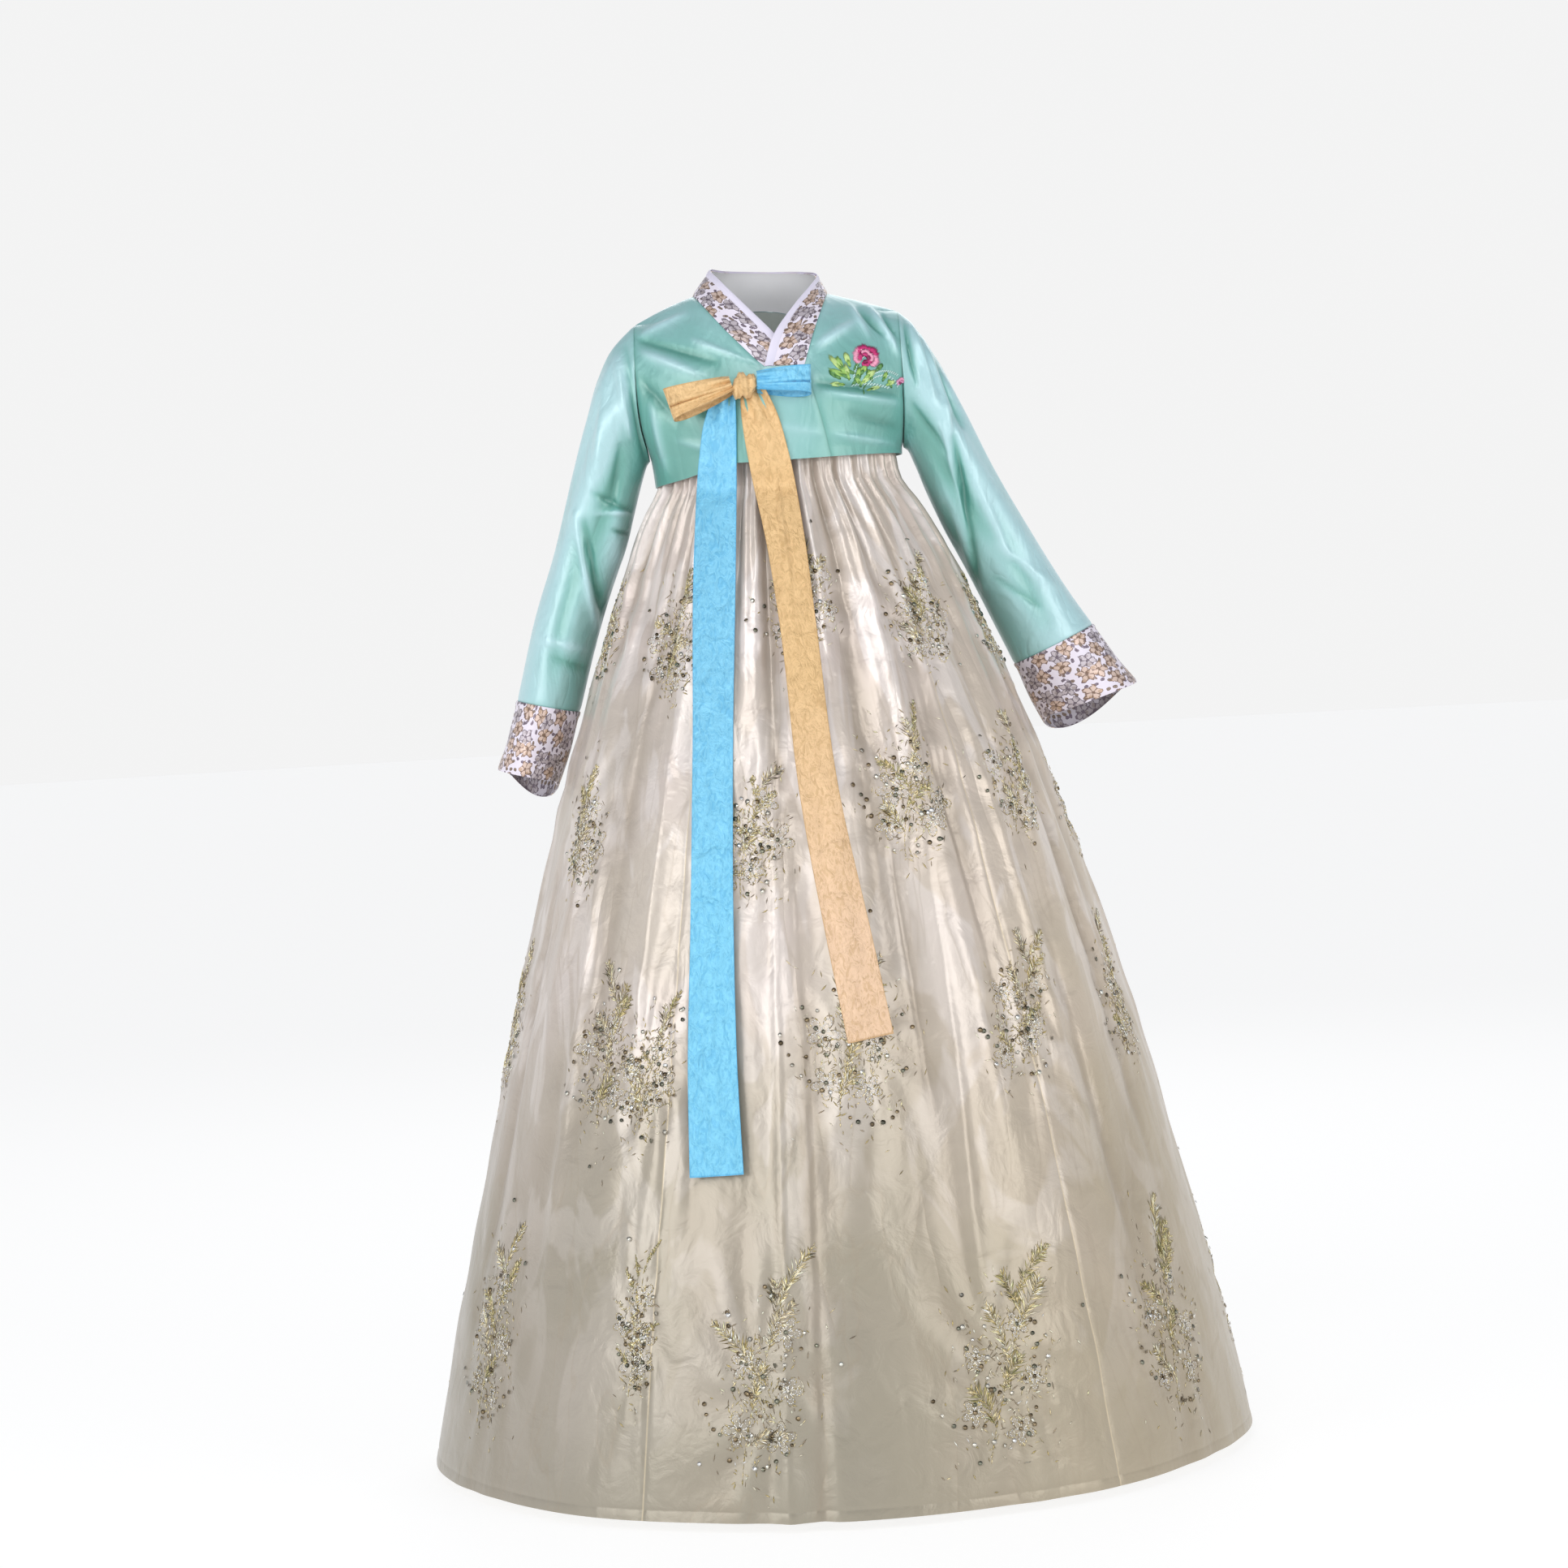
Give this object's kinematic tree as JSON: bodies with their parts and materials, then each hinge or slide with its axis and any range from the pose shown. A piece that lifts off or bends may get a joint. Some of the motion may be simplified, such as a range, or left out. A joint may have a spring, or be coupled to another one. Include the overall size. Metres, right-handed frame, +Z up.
{
  "type": "korean hanbok dress",
  "caption": "Short wrapped satin jacket with brocade collar and cuffs and a two-colour ribbon bow, over a high-waisted full gathered satin skirt, kept in its worn shape.",
  "frame": {"origin": "middle of the shoulder line, between the two shoulders that carry the garment", "axes": "+Z up, the front faces -Y, the wearer's left is +X"},
  "size_m": [1.0065, 0.983, 1.4434],
  "materials": {
    "skirt_satin": "champagne satin with embroidered and sequinned flower sprays",
    "band_cotton": "plain white cotton",
    "jacket_satin": "mint green satin",
    "trim_brocade": "white brocade with small flowers in brown, gold and violet",
    "strip_white": "stiff white cotton",
    "ribbon_blue": "sky blue crinkled satin",
    "ribbon_gold": "warm gold crinkled satin"
  },
  "bodies": {
    "root": {"skirt_panel_front": "skirt_satin", "skirt_panel_left": "skirt_satin", "skirt_panel_back_left": "skirt_satin", "skirt_panel_back_right": "skirt_satin", "skirt_panel_right": "skirt_satin", "skirt_chest_band": "band_cotton", "jacket_front_left": "jacket_satin", "jacket_front_right": "jacket_satin", "jacket_back_left": "jacket_satin", "jacket_back_right": "jacket_satin", "jacket_overlap_panel": "jacket_satin", "collar": "trim_brocade", "collar_strip": "strip_white", "sleeve_left_upper_arm": "jacket_satin", "sleeve_left_forearm": "jacket_satin", "sleeve_right_upper_arm": "jacket_satin", "sleeve_right_forearm": "jacket_satin", "cuff_left": "trim_brocade", "cuff_right": "trim_brocade", "ribbon_tail_blue": "ribbon_blue", "ribbon_tail_gold": "ribbon_gold", "ribbon_loop_blue": "ribbon_blue", "ribbon_loop_gold": "ribbon_gold", "ribbon_knot": "ribbon_gold"}
  },
  "joints": []
}
